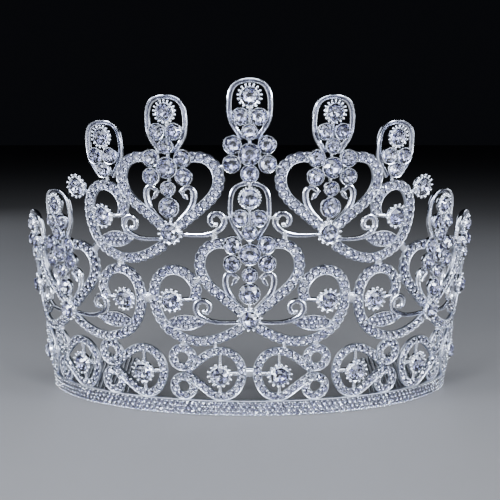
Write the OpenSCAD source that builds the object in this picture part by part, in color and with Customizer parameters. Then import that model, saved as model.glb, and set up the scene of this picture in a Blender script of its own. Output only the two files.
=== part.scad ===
// Open-backed pageant crown: one soldered frame of pierced scrolls and hearts, two combs and set stones.
// Millimetres, +Z up. The origin is the middle of the base plane, half way from the front to the combs'
// tips. The front of the crown faces -Y. Patterns are charted flat as [along, up]: the arc length round the
// crown from its middle, and the height above the base. The function on_crown bends them to the shape.

/* [Crown] */
// Width of the crown across its base, to the middle of the metal
crown_width = 150; // [135:1:165]
// Depth of the crown from its front to its widest line
crown_depth = 57; // [50:1:66]
// Outward lean of the wall from the vertical, in degrees
lean_angle = 7.7; // [4:0.1:10]

/* [Base band] */
// Height of the base band
band_height = 5.8; // [4.8:0.1:6.4]
// Thickness of the base band
band_thick = 1.5; // [1.1:0.1:1.6]

/* [Gallery] */
// Arc length of one gallery repeat
gallery_pitch = 26.4; // [26:0.1:27]
// Length of a drop, between the middles of its ribbon
drop_length = 19; // [18.4:0.1:19.4]
// Height of a drop, between the middles of its ribbon
drop_height = 16.2; // [15.4:0.1:16.8]
// Radius of the small rings, to the middle of their ribbon
ring_radius = 3.35; // [3:0.05:3.6]
// Width of the gallery ribbon
gallery_ribbon = 2.9; // [2.5:0.1:3.3]

/* [Hearts] */
// Height of the lower hearts' foot stones above the base
low_foot = 34.4; // [33.6:0.1:35]
// Height of the upper hearts' foot stones above the base
high_foot = 63.3; // [62.6:0.1:64]
// Arc length from the middle to the upper hearts
upper_place = 23.8; // [23.2:0.1:24.4]
// Arc length from the middle to the side hearts
side_place = 65.8; // [65:0.1:66.6]
// Half width of a heart, to the middle of its ribbon
heart_half = 15.1; // [14.4:0.1:15.6]
// Height of a heart's shoulders above its foot stone
heart_rise = 25.3; // [24.4:0.1:26.2]
// Width of the heart and scroll ribbons
ribbon_width = 3.3; // [2.9:0.1:3.7]
// Thickness of the ribbons
ribbon_thick = 1.9; // [1.6:0.1:2.2]

/* [Scrolls] */
// Reach of a scroll from the foot stone to the far side of its hoop
scroll_reach = 30.5; // [30:0.1:31.2]
// Rise of a scroll's hoop above the foot stone
scroll_rise = 16.3; // [15.6:0.1:17]
// Width of a leaf
leaf_width = 5.8; // [4.6:0.1:6.4]
// Width of the plain wire of tendrils and curls
wire_width = 1.6; // [1.2:0.1:2]
// Thickness of the plain wire
wire_thick = 1.3; // [1:0.1:1.5]

/* [Plumes] */
// Half width of a plume's loop, to the middle of its wire
loop_half = 5.7; // [5.2:0.1:6.2]
// Length of a plume's loop, from its foot to its top
loop_length = 20; // [19:0.1:21]
// Height of the top cluster's lowest stone above the base
top_place = 83; // [82.4:0.1:83.6]
// Arc length from the middle to the outer flowers
tip_place = 55; // [54.4:0.1:55.6]
// Height of the outer flowers above the base
tip_height = 78; // [77.2:0.1:78.8]
// Arc length from the middle to the end finials
finial_place = 84; // [83.2:0.1:84.8]

/* [Stones] */
// Radius of the stone in the middle of a cluster
core_radius = 3.4; // [2.8:0.05:3.6]
// Radius of the stones beside it
side_radius = 2.75; // [2.3:0.05:3]
// Radius of the paired stones in a plume
pair_radius = 2.6; // [2.2:0.05:2.8]
// Radius of the small stones in a cluster
small_radius = 2.4; // [2:0.05:2.7]
// Radius of the stone above a heart's foot
base_radius = 3.3; // [2.8:0.05:3.6]
// Radius of the stones in flower settings
flower_radius = 2.9; // [2.4:0.05:3.2]
// Radius of a flower setting
flower_setting = 4.1; // [3.7:0.05:4.4]
// Radius of a plume's crest setting
crest_setting = 3.7; // [3.4:0.05:3.9]
// Height of a stone from its back to its table, as a share of its radius
stone_depth = 0.45; // [0.3:0.01:0.6]
// Width of the table, as a share of the stone's width
table_share = 0.56; // [0.45:0.01:0.7]
// Height of the cups in front of the wall's middle
cup_height = 2; // [1.6:0.1:2.4]
// Height of the flower settings in front of the wall's middle
flower_height = 1.5; // [1.3:0.1:1.9]
// Width of the metal round a stone in its cup
cup_rim = 0.4; // [0.35:0.05:0.5]
// Clearance between stones that lie side by side
stone_gap = 0.3; // [0.2:0.05:0.4]
// Clearance between a stone's back and its seat
seat_gap = 0.1; // [0.1:0.05:0.2]

/* [Combs] */
// Arc length from the middle to the comb's front end
comb_from = 45; // [40:1:50]
// Arc length from the middle to the comb's back end
comb_to = 74; // [68:1:80]
// Length of the comb's teeth
comb_length = 40; // [30:1:50]
// Number of looped teeth on a comb
comb_loops = 7; // [5:1:8]
// Rise of the teeth toward their tips, in degrees
comb_tilt = 8; // [0:1:12]
// Diameter of the comb's tooth wire
comb_wire = 1; // [0.8:0.1:1.2]
// Diameter of the comb's bar
comb_bar = 2; // [1.6:0.1:2.4]
// Height of the comb's bar above the base
comb_height = 3; // [2:0.1:4]
// Clearance between a comb and the band
comb_gap = 0.2; // [0.1:0.05:0.3]

/* [Hidden] */
gallery_count = 4;
half_width = crown_width / 2;
lean = tan(lean_angle);
band_over = 0.6;
band_end = gallery_count * gallery_pitch + band_over;
band_steps = 32;
stone_sides = 8;
flower_sides = 7;
accent_sides = 6;
ring_sides = 7;
cup_back = 0.25;
seat_turn = 2;
level_step = 0.12;
stem_thick = 1;
stem_shift = 0.12;
link_thick = 1.1;
ring_step = 0.3;
heart_step = 0.1;
scroll_step = 0.15;
leaf_thick = 1.5;
side_drop = 0.5;
setting_rim = 0.8;
peg_width = 1.8;
fine_peg = 1.3;
middle_link = 3.6;

// The plan is half an ellipse. These rows give the turn for each arc length from its front.
turn_step = 2;
turn_rows = [
    for (turn = 0, arc = 0; turn <= 130;
         arc = arc + norm(plan(turn + turn_step) - plan(turn)), turn = turn + turn_step)
        [arc, turn]
];

// Point of the base plan at a turn from the front, in degrees
function plan(turn) = [half_width * sin(turn), -crown_depth * cos(turn)];

// Turn at an arc length from the middle, negative to the left
function turn_at(along) = sign(along) * lookup(abs(along), turn_rows);

// Outward direction of the wall in plan
function outward(turn) =
    let (n = [sin(turn) / half_width, -cos(turn) / crown_depth])
    n / norm(n);

// How much wider the leaning wall is than its chart at a place
function spread(along, up) =
    let (turn = turn_at(along))
    1 + lean * up * norm(outward(turn + 1) - outward(turn - 1)) / norm(plan(turn + 1) - plan(turn - 1));

// Point of the leaning wall for a charted place, at a distance in front of the wall's middle
function on_wall(p, out) =
    let (turn = turn_at(p[0]), base = plan(turn), n = outward(turn), shift = lean * p[1] + out)
    [base[0] + shift * n[0], base[1] + shift * n[1], p[1]];
function on_crown(p, out = 0) = on_wall(p, out) + [0, middle_y, 0];

// Upright direction of the wall, and its true facing, at a charted place
function wall_up(p) = let (n = outward(turn_at(p[0])), v = [lean * n[0], lean * n[1], 1]) v / norm(v);
function wall_along(p) = let (n = outward(turn_at(p[0]))) [-n[1], n[0], 0];
function wall_out(p) = cross(wall_along(p), wall_up(p));

// Point in the flat frame that touches the wall at a charted place
function beside(p, across, up, out) =
    on_crown(p) + across * wall_along(p) + up * wall_up(p) + out * wall_out(p);

// A ring of points in that frame, counted anticlockwise from outside
function ring_of(p, radius, out, sides) = [
    for (i = [0:sides - 1])
        let (a = 360 * (i + 0.5) / sides)
        beside(p, radius * cos(a), radius * sin(a), out)
];

// Faces of a solid between two such rings, whose points start at a given number
function ring_faces(sides, first = 0) = [
    [for (i = [0:sides - 1]) first + i],
    [for (i = [sides - 1:-1:0]) first + sides + i],
    for (i = [0:sides - 1])
        let (j = (i + 1) % sides)
        [first + i, first + sides + i, first + sides + j, first + j]
];

function unit(v) = v / norm(v);
function width_at(width, i) = is_list(width) ? width[i] : width;

// Sideways direction of a charted path at one of its points, lengthened at a bend
function path_side(path, i, closed) =
    let (
        n = len(path),
        before = closed ? path[(i + n - 1) % n] : path[max(i - 1, 0)],
        after = closed ? path[(i + 1) % n] : path[min(i + 1, n - 1)],
        go = unit(after - before),
        next = (i < n - 1 || closed) ? unit(path[(i + 1) % n] - path[i]) : go,
        share = max(0.7, go * next)
    )
    [-go[1], go[0]] / share;

// Sections of the metal, as shares of half the width and distances in front of the wall's middle
slab_section = [[1, 0.5], [-1, 0.5], [-1, -0.5], [1, -0.5]];
ribbon_section = [[1, 0.5], [-1, 0.5], [0, -0.5]];
wire_section = [[0, 0.5], [-1, -0.5], [1, -0.5]];

// A bar that follows a charted path on the wall, with one of the sections
module bar(section, path, width, thick, closed = false) {
    n = len(path);
    m = len(section);
    corners = [
        for (i = [0:n - 1])
            let (side = path_side(path, i, closed) * width_at(width, i) / 2)
            for (row = section)
                on_crown(path[i] + row[0] * side, row[1] * thick)
    ];
    walls = [
        for (i = [0:closed ? n - 1 : n - 2], k = [0:m - 1])
            let (a = m * i, b = m * ((i + 1) % n), j = (k + 1) % m)
            each [[a + k, b + k, b + j], [a + k, b + j, a + j]]
    ];
    last = m * (n - 1);
    ends = closed ? [] : [for (k = [1:m - 2]) each [[0, k, k + 1], [last, last + k + 1, last + k]]];
    polyhedron(points = corners, faces = concat(walls, ends), convexity = 6);
}

// Ribbon with a flat front and a ridge behind
module ribbon(path, width, thick = ribbon_thick, closed = false) {
    bar(ribbon_section, path, width, thick, closed);
}

// Plain wire with a ridge in front
module wire(path) {
    bar(wire_section, path, wire_width, wire_thick);
}

// A short straight link between two charted places
module link(a, b, width, thick = link_thick) {
    hull()
    bar(ribbon_section, [a, b], width, thick);
}

// Puts its children flat against the wall at a charted place, with +Z facing outward
module against_wall(p) {
    u = wall_along(p);
    v = wall_up(p);
    w = wall_out(p);
    o = on_crown(p);
    multmatrix([
        [u[0], v[0], w[0], o[0]],
        [u[1], v[1], w[1], o[1]],
        [u[2], v[2], w[2], o[2]],
        [0, 0, 0, 1]
    ])
    children();
}

// A setting on the wall, from inside the ribbons to its height in front
module setting(p, radius, height, sides) {
    against_wall(p)
    translate([0, 0, height - cup_height - cup_back])
    rotate([0, 0, 180 / sides + sign(p[0]) * seat_turn])
    cylinder(h = cup_height + cup_back, r = radius, $fn = sides);
}

// The centre heart and its plume fill the height between its foot stone and the top cluster
heart_room = 48.6;
centre_share = (top_place - low_foot) / heart_room;

// Hearts of the right half: name, along, foot height and size share
centre_heart = ["centre_heart", 0, low_foot, centre_share];
upper_heart = ["upper_heart", upper_place, high_foot, 0.97];
side_heart = ["side_heart", side_place, low_foot - side_drop, 0.93];

// Ribbon of one side of a heart, from its shoulder to its foot: across and up as shares of the heart
heart_rows = [
    [0.40, 1.00],
    [0.68, 1.00],
    [0.88, 0.93],
    [0.99, 0.80],
    [0.995, 0.65],
    [0.90, 0.51],
    [0.64, 0.34],
    [0.17, 0.09]
];

// Plain curl inside a heart, from its foot: across and up as shares of the heart
curl_rows = [
    [0.10, 0.11],
    [0.34, 0.265],
    [0.50, 0.48],
    [0.41, 0.61],
    [0.24, 0.55]
];

// Scroll from a heart's foot stone out, up and back over its hoop: shares of its reach and rise
scroll_rows = [
    [0.085, -0.18],
    [0.27, -0.375],
    [0.50, -0.485],
    [0.70, -0.43],
    [0.87, -0.23],
    [0.97, 0.08],
    [1.00, 0.42],
    [0.965, 0.76],
    [0.85, 0.975],
    [0.70, 0.975],
    [0.59, 0.80],
    [0.55, 0.56],
    [0.58, 0.38]
];

// Plain tendril of a scroll, from the foot stone to its curled tip: shares as for the scroll
tendril_rows = [
    [0.10, -0.07],
    [0.30, -0.085],
    [0.47, -0.015],
    [0.565, 0.19],
    [0.49, 0.365],
    [0.415, 0.25],
    [0.46, 0.13]
];

// Leaf of a scroll: shares along the reach and rise, and the share of the leaf's width there
leaf_rows = [
    [0.905, -0.13, 0.12],
    [0.76, -0.117, 0.92],
    [0.60, -0.10, 0.88],
    [0.44, -0.06, 0.12]
];

// Scrolls of the right half: heart, direction, reach share and lift
scrolls = [
    [centre_heart, 1, 1, 0],
    [side_heart, -1, 1, 0.2],
    [side_heart, 1, 1, 0],
    [upper_heart, 1, 0.9, -1]
];

// One more tendril, from the upper heart toward the middle
inner_tendril = [upper_heart, -1, 0.94, 0.6];

// Loop of a plume, from one foot to the other: shares of its half width and its length
loop_rows = [
    [0.41, 0.16],
    [0.98, 0.46],
    [0.95, 0.80],
    [0.38, 1.00]
];

// Ribbon of a gallery drop, from its tip round its wide end and back: shares of its length and height
drop_rows = [
    [1.00, 0.54],
    [0.72, 0.81],
    [0.44, 0.99],
    [0.20, 0.955],
    [0.05, 0.77],
    [0.00, 0.53],
    [0.05, 0.27],
    [0.19, 0.06],
    [0.40, 0.00],
    [0.68, 0.20],
    [1.00, 0.48]
];

// Charted places inside a heart and inside a scroll, from shares
function heart_at(h, p, side) = [
    h[1] + side * p[0] * heart_half * h[3],
    h[2] + p[1] * heart_rise * h[3]
];
function scroll_at(c, p) = [
    c[0][1] + c[1] * p[0] * scroll_reach * c[2],
    c[0][2] + c[3] + p[1] * scroll_rise
];

// The gallery's drops rest on the band, and their first wide ends stand close beside the middle
drop_clear = 0.95;
drop_sink = 0.25;
drop_start = gallery_ribbon / 2 + drop_clear;
drop_base = band_height + gallery_ribbon / 2 - drop_sink;
ring_share = 1.035;
ring_ups = [0.205, 0.83];
function drop_at(n, p) = [
    n * gallery_pitch + drop_start + p[0] * drop_length,
    drop_base + p[1] * drop_height
];

// Steps between the stones of a cluster, from their radii
pair_step = 0.2;
plume_step = 0.4;
side_step = 0.12;
side_lean = 0.1;
mid_step = 1.3;
lower_step = 1.2;
base_step = 0.7;
pair_across = pair_radius + stone_gap / 2 + pair_step;
pair_up = sqrt(pow(pair_radius + small_radius + stone_gap, 2) - pow(pair_across, 2)) + plume_step;
crest_up = sqrt(pow(pair_radius + crest_setting + stone_gap, 2) - pow(pair_across, 2)) + plume_step;
side_up = side_radius + stone_gap;
side_across = sqrt(pow(core_radius + side_radius + stone_gap, 2) - pow(side_up, 2)) - side_step;
mid_up = core_radius + small_radius + mid_step;
lower_up = core_radius + small_radius + lower_step;
crest_over = mid_up + pair_up + crest_up;
base_up = small_radius + base_radius + base_step;
core_up = 0.88 * heart_rise;
loop_foot = 4.3;

// Rows of set stones: name, along, up, stone radius, setting radius and setting height
function cup(name, along, up, radius, k, level) =
    [name, along, up, radius * k, (radius + cup_rim) * k, cup_height - level * level_step];
function flower(name, along, up, ring, k = 1) =
    [name, along, up, min(flower_radius, ring - setting_rim) * k, ring * k, flower_height];

// The stones of a plume above its small stone
function plume_stones(name, along, up, k) =
    let (across = pair_across * k / spread(along, up + pair_up * k))
    [
        cup("", along, up, small_radius, k, 1),
        cup("", along - across, up + pair_up * k, pair_radius, k, 2),
        cup("", along + across, up + pair_up * k, pair_radius, k, 2),
        flower(str("crest_stone_", name), along, up + (pair_up + crest_up) * k, crest_setting, k)
    ];

// The stones round a cluster's core, with the plume above them
function cluster_stones(name, along, up, k) = concat(
    [
        cup(str("core_stone_", name), along, up, core_radius, k, 0),
        for (side = [-1, 1], rise = [-1, 1])
            let (across = side * (side_across - rise * side_lean) / spread(along, up))
            cup("", along + across * k, up + rise * side_up * k, side_radius, k, rise < 0 ? 1 : 2)
    ],
    plume_stones(name, along, up + mid_up * k, k)
);
function heart_core(h) = h[2] + core_up * h[3];
function heart_stones(h, name, along) =
    let (k = h[3], core = heart_core(h))
    concat(
        cluster_stones(name, along, core, k),
        [
            cup("", along, core - lower_up * k, small_radius, k, 1),
            cup(str("base_stone_", name), along, core - (lower_up + base_up) * k, base_radius, k, 2),
            flower(str("foot_stone_", name), along, h[2], flower_setting)
        ]
    );

// The widest line lies behind the middle of the whole, between the front stone and the combs' tips
front_reach = crown_depth + lean * (top_place + small_radius + core_radius + crest_over)
    + flower_height + seat_gap + stone_depth * flower_radius;
comb_inset = band_thick / 2 + comb_gap + comb_bar / 2;
bar_front = on_wall([comb_from, comb_height], -comb_inset);
bar_back = on_wall([comb_to, comb_height], -comb_inset);
bar_slope = (bar_back[1] - bar_front[1]) / (bar_back[0] - bar_front[0]);
function along_bar(i) = bar_front + (bar_back - bar_front) * (i + 0.5) / comb_loops;
back_reach = along_bar(comb_loops - 1)[1] + comb_length * cos(comb_tilt);
middle_y = (front_reach - back_reach) / 2;

// The peak on the upper scroll's hoop and the finial on the outer scroll's hoop
peak_share = 0.97;
peak_over = 4.3;
peak_stem = 5;
peak_place = upper_place + 0.66 * scroll_reach;
peak_mid = high_foot + scroll_rise + peak_over;
finial_share = 0.92;
finial_over = 2.2;
finial_stem = 5.5;
finial_mid = low_foot + scroll_rise + finial_over;
top_step = 0.4;
top_stem = 4.5;
top_core = top_place + small_radius + core_radius + top_step;
flower_share = [0.815, 0.36];
gallery_flower_share = [0.39, 0.47];

// All the stones that stand on the crown's middle line
middle_stones = concat(
    heart_stones(centre_heart, "centre_heart", 0),
    cluster_stones("top", 0, top_core, 1),
    [cup("base_stone_top", 0, top_place, side_radius, 1, 1)]
);

// The stones of one side: -1 to the left and 1 to the right
function side_stones(side, word) = concat(
    heart_stones(upper_heart, str("upper_heart_", word), side * upper_heart[1]),
    heart_stones(side_heart, str("side_heart_", word), side * side_heart[1]),
    plume_stones(str("peak_", word), side * peak_place, peak_mid, peak_share),
    plume_stones(str("finial_", word), side * finial_place, finial_mid, finial_share),
    [
        for (i = [0:len(scrolls) - 1])
            let (p = scroll_at(scrolls[i], flower_share))
            flower(str("scroll_stone_", i + 1, "_", word), side * p[0], p[1], flower_setting)
    ],
    [flower(str("tip_stone_", word), side * tip_place, tip_height, flower_setting)]
);
left_stones = side_stones(-1, "left");
right_stones = side_stones(1, "right");
gallery_rows = [
    for (side = [-1, 1], n = [0:gallery_count - 1])
        let (p = drop_at(n, gallery_flower_share))
        flower("", side * p[0], p[1], flower_setting)
];
all_stones = concat(middle_stones, left_stones, right_stones, gallery_rows);
main_stones = [for (row = all_stones) if (row[0] != "") row];
function accents(rows) = [for (row = rows) if (row[0] == "") row];

fields = [
    ["accent_stones_middle", accents(middle_stones)],
    ["accent_stones_left", accents(left_stones)],
    ["accent_stones_right", accents(right_stones)],
    ["gallery_stones", gallery_rows]
];

// Base band: a plain strap that stands on the base plane
module band() {
    path = [
        for (i = [0:band_steps])
            [band_end * (2 * i / band_steps - 1), band_height / 2]
    ];
    bar(slab_section, path, band_height, band_thick);
}

// One gallery repeat: a drop, its two rings and the pegs of its flower
module gallery_unit(n) {
    ribbon([for (row = drop_rows) drop_at(n, row)], gallery_ribbon);
    for (up = ring_ups) {
        middle = drop_at(n, [ring_share, up]);
        circle_path = [
            for (i = [0:ring_sides - 1])
                let (a = 360 * i / ring_sides)
                middle + ring_radius * [cos(a), sin(a)]
        ];
        ribbon(circle_path, gallery_ribbon, ribbon_thick - ring_step, true);
    }
    link(drop_at(n, [0.40, 0.03]), drop_at(n, [0.38, 0.97]), fine_peg);
    link(drop_at(n, [0.24, 0.50]), drop_at(n, [0.02, 0.50]), peg_width);
}

// One side of a heart: its ribbon and its inner curl
module heart_half_metal(h, side) {
    ribbon([for (row = heart_rows) heart_at(h, row, side)], ribbon_width, ribbon_thick + heart_step);
    wire([for (row = curl_rows) heart_at(h, row, side)]);
}

// A scroll with its hoop, leaf and flower pegs
module scroll_metal(c) {
    ribbon([for (row = scroll_rows) scroll_at(c, row)], ribbon_width, ribbon_thick - scroll_step);
    leaf_widths = [for (row = leaf_rows) row[2] * leaf_width];
    ribbon([for (row = leaf_rows) scroll_at(c, row)], leaf_widths, leaf_thick);
    link(scroll_at(c, [0.75, 0.365]), scroll_at(c, [0.56, 0.40]), peg_width);
}

// A plain tendril from a heart's foot, with a reach share and a lift
module tendril(h, side, share, lift) {
    c = [h, side, share, lift];
    wire([for (row = tendril_rows) scroll_at(c, row)]);
}

// The loop of a plume: its feet come down beside its small stone
module plume_loop(along, up, k) {
    half = [for (row = loop_rows) [row[0] * loop_half, row[1] * loop_length - loop_foot] * k];
    foot = [along, up];
    path = concat(
        [for (p = half) foot + p],
        [for (i = [len(half) - 1:-1:0]) foot + [-half[i][0], half[i][1]]]
    );
    wire(path);
}

// The stem behind a row of stones
module stem(along, low, high) {
    bar(wire_section, [[along + stem_shift, low], [along + stem_shift, high]], wire_width, stem_thick);
}

// Everything of the right half's metal that isn't a setting
module half_metal() {
    for (n = [0:gallery_count - 1])
        gallery_unit(n);
    heart_half_metal(centre_heart, 1);
    for (side = [-1, 1]) {
        heart_half_metal(upper_heart, side);
        heart_half_metal(side_heart, side);
    }
    for (c = scrolls) {
        scroll_metal(c);
        tendril(c[0], c[1], c[2], c[3]);
    }
    tendril(inner_tendril[0], inner_tendril[1], inner_tendril[2], inner_tendril[3]);
    plume_loop(upper_heart[1], heart_core(upper_heart) + mid_up * upper_heart[3], upper_heart[3]);
    plume_loop(side_heart[1], heart_core(side_heart) + mid_up * side_heart[3], side_heart[3]);
    plume_loop(peak_place, peak_mid, peak_share);
    plume_loop(finial_place, finial_mid, finial_share);
    for (h = [upper_heart, side_heart])
        stem(h[1], h[2], heart_core(h) + crest_over * h[3]);
    stem(peak_place, peak_mid - peak_stem, peak_mid + (pair_up + crest_up) * peak_share);
    stem(finial_place, finial_mid - finial_stem, finial_mid + (pair_up + crest_up) * finial_share);
    half_links();
}

// Links of the right half, between places of the parts that they join
module half_links() {
    post = 1.4;
    weld = 2.6;
    scroll_1 = scrolls[0];
    scroll_2 = scrolls[1];
    scroll_3 = scrolls[2];
    scroll_4 = scrolls[3];
    // Posts from the gallery to the scrolls above it
    link(drop_at(0, [0.47, 0.97]), scroll_at(scroll_1, [0.37, -0.44]), post);
    link(drop_at(0, [ring_share, 1.02]), scroll_at(scroll_1, [0.70, -0.42]), weld);
    link(drop_at(2, [ring_share, 1.02]), scroll_at(scroll_3, [0.31, -0.40]), weld);
    link(drop_at(3, [0.25, 0.97]), scroll_at(scroll_3, [0.67, -0.43]), post);
    // Welds between hearts and hoops
    link(heart_at(centre_heart, [0.93, 0.56], 1), scroll_at(scroll_1, [0.57, 0.74]), weld);
    link(heart_at(side_heart, [0.93, 0.56], -1), scroll_at(scroll_2, [0.57, 0.74]), weld);
    link(heart_at(side_heart, [0.93, 0.56], 1), scroll_at(scroll_3, [0.57, 0.74]), weld);
    link(heart_at(upper_heart, [0.95, 0.58], 1), scroll_at(scroll_4, [0.60, 0.84]), weld);
    link(scroll_at(scroll_1, [0.99, 0.40]), scroll_at(scroll_2, [0.99, 0.40]), 1.6 * weld);
    // The upper tier stands on the tier below it and leans on the top cluster
    link(scroll_at(scroll_4, [0.64, -0.46]), scroll_at(scroll_2, [0.76, 0.97]), weld);
    link(scroll_at(scroll_4, [0.91, -0.15]), heart_at(side_heart, [0.93, 0.89], -1), weld);
    loop_side = heart_core(centre_heart) + (mid_up - loop_foot + 0.46 * loop_length) * centre_share;
    top_side = side_across / spread(0, top_core);
    link(scroll_at(inner_tendril, [0.46, 0]), heart_at(centre_heart, [0.72, 0.98], 1), peg_width);
    link(scroll_at(inner_tendril, [0.545, 0.26]), [0.95 * loop_half * centre_share, loop_side], post);
    link(heart_at(upper_heart, [0.96, 0.86], -1), [top_side, top_core - side_up], peg_width);
    // Stem of the outer flower
    link(scroll_at(scroll_4, [0.97, 0.80]), [tip_place, tip_height], peg_width);
}

// The soldered metal: band, gallery, hearts, scrolls, loops and all settings
module frame() {
    color("silver") {
        band();
        middle_up = drop_base + 0.53 * drop_height;
        link([-drop_start, middle_up], [drop_start, middle_up], middle_link);
        half_metal();
        mirror([1, 0, 0])
        half_metal();
        plume_loop(0, heart_core(centre_heart) + mid_up * centre_share, centre_share);
        plume_loop(0, top_core + mid_up, 1);
        stem(0, low_foot, heart_core(centre_heart) + crest_over * centre_share);
        stem(0, top_place - top_stem, top_core + crest_over);
        for (row = all_stones) {
            cup_sides = row[0] == "" ? accent_sides : stone_sides;
            setting([row[1], row[2]], row[4], row[5], row[5] > flower_height ? cup_sides : flower_sides);
        }
    }
}

// Points of one cut stone: a flat back, slanted facets and a table
function stone_points(row) =
    let (p = [row[1], row[2]], back = row[5] + seat_gap)
    concat(
        ring_of(p, row[3], back, stone_sides),
        ring_of(p, row[3] * table_share, back + row[3] * stone_depth, stone_sides)
    );

// One stone, or a whole field of loose stones
module stones(rows) {
    color([0.86, 0.89, 0.96])
    polyhedron(
        points = [for (row = rows) each stone_points(row)],
        faces = [for (i = [0:len(rows) - 1]) each ring_faces(stone_sides, 2 * stone_sides * i)],
        convexity = 10
    );
}

// A wire comb inside the crown's right end: a bar across the band's curve, and looped teeth to the back
module comb() {
    turn_radius = round(25 * (bar_back[0] - bar_front[0]) / comb_loops) / 100;
    turn_shift = round(100 * turn_radius * bar_slope) / 100;
    straight = comb_length - turn_radius - comb_wire / 2;
    translate([0, middle_y, 0])
    union() {
        translate(bar_front)
        rotate([0, 90, atan(bar_slope)])
        cylinder(h = norm(bar_back - bar_front), d = comb_bar, $fn = 24);
        for (i = [0:comb_loops - 1])
            translate(along_bar(i))
            rotate([comb_tilt, 0, 0]) {
                for (side = [-1, 1])
                    translate([side * turn_radius, side * turn_shift, 0])
                    rotate([-90, 0, 0])
                    cylinder(h = straight - side * turn_shift, d = comb_wire, $fn = 16);
                translate([0, straight, 0])
                rotate_extrude(angle = 180, $fn = 24)
                translate([turn_radius, 0])
                circle(d = comb_wire, $fn = 16);
            }
    }
}

module comb_right() {
    color("lightgrey")
    comb();
}

module comb_left() {
    color("lightgrey")
    mirror([1, 0, 0])
    comb();
}

frame();
comb_left();
comb_right();
for (row = main_stones)
    stones([row]);
for (field = fields)
    stones(field[1]);
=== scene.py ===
import math

import bmesh
import bpy
import numpy as np
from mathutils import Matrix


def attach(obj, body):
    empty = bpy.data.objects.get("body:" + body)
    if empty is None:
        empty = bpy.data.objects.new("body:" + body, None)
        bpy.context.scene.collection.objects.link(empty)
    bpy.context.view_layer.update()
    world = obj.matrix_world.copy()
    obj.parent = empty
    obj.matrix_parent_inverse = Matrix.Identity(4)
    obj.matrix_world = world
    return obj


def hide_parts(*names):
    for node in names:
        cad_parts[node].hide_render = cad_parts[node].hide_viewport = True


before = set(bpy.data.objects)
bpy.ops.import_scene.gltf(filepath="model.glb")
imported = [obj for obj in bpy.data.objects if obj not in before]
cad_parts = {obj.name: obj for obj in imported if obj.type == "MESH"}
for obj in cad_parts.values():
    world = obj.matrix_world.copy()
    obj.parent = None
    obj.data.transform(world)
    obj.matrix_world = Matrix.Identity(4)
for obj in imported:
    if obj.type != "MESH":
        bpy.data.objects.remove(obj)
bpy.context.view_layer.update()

print("crown: frame loaded,", len(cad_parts), "nodes")

# Everything is charted flat in millimetres: arc length round the crown from its middle, and height.
crown = {
    "width": 150.0,
    "depth": 57.0,
    "leanAngle": 7.7,
    "middleShift": 31.5712,  # how far the widest line lies behind the middle of the whole crown
    "bandEnd": 106.2,
    "chartEnd": 132.1,  # degrees of turn that the chart covers
    "chartStep": 2.0,
    "crispAngle": 48,  # an edge that turns more than this stays crisp
    "metres": 0.001,
}
walk = {"ribbon": 0.42, "leaf": 0.45, "wire": 0.5, "band": 0.4,  # steps along the paths
        "finePoints": 50, "leastSteps": 6, "barPoints": 5}
lean = math.tan(math.radians(crown["leanAngle"]))
turnTable = np.arange(0.0, crown["chartEnd"], crown["chartStep"])


# The base plan is half an ellipse: the width goes with the turn's sine, the depth with its cosine.
def planPoint(turn):
    return np.stack([crown["width"] / 2 * np.sin(turn), -crown["depth"] * np.cos(turn)], -1)


# Length run at each point of a path: the sum of the steps so far.
def runOf(path):
    return np.concatenate([[0.0], np.cumsum(np.linalg.norm(np.diff(path, axis=0), axis=1))])


arcTable = runOf(planPoint(np.radians(turnTable)))


# The plan's point at a charted arc length, and its outward direction.
def planAt(along):
    turn = np.radians(np.sign(along) * np.interp(np.abs(along), arcTable, turnTable))
    outward = np.stack([np.sin(turn) / (crown["width"] / 2), -np.cos(turn) / crown["depth"]], -1)
    return planPoint(turn), outward / np.linalg.norm(outward, axis=-1, keepdims=True)


# A charted place leans outward with its height, and stands out from the wall's middle.
def onCrown(along, up, out=0.0):
    along, up, out = np.broadcast_arrays(np.asarray(along, float), up, out)
    base, outward = planAt(along)
    spot = base + (lean * up + out)[..., None] * outward
    return np.concatenate([spot[..., :1], spot[..., 1:] + crown["middleShift"], up[..., None]], -1)


# How much wider the leaning wall is than its chart: 1 + lean * height * the plan's bend.
def spreadAt(along, up):
    (base, outward), (nextBase, nextOutward) = planAt(along - 1.0), planAt(along + 1.0)
    return 1 + lean * up * np.linalg.norm(nextOutward - outward) / np.linalg.norm(nextBase - base)


# Sideways, upright and facing directions of the leaning wall.
def wallDirections(along):
    outward = planAt(np.asarray(along, float))[1]
    flat = np.zeros_like(outward[..., :1])
    sideways = np.concatenate([-outward[..., 1:], outward[..., :1], flat], -1)
    upright = np.concatenate([lean * outward, flat + 1.0], -1)
    upright = upright / np.linalg.norm(upright, axis=-1, keepdims=True)
    return sideways, upright, np.cross(sideways, upright)


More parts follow.
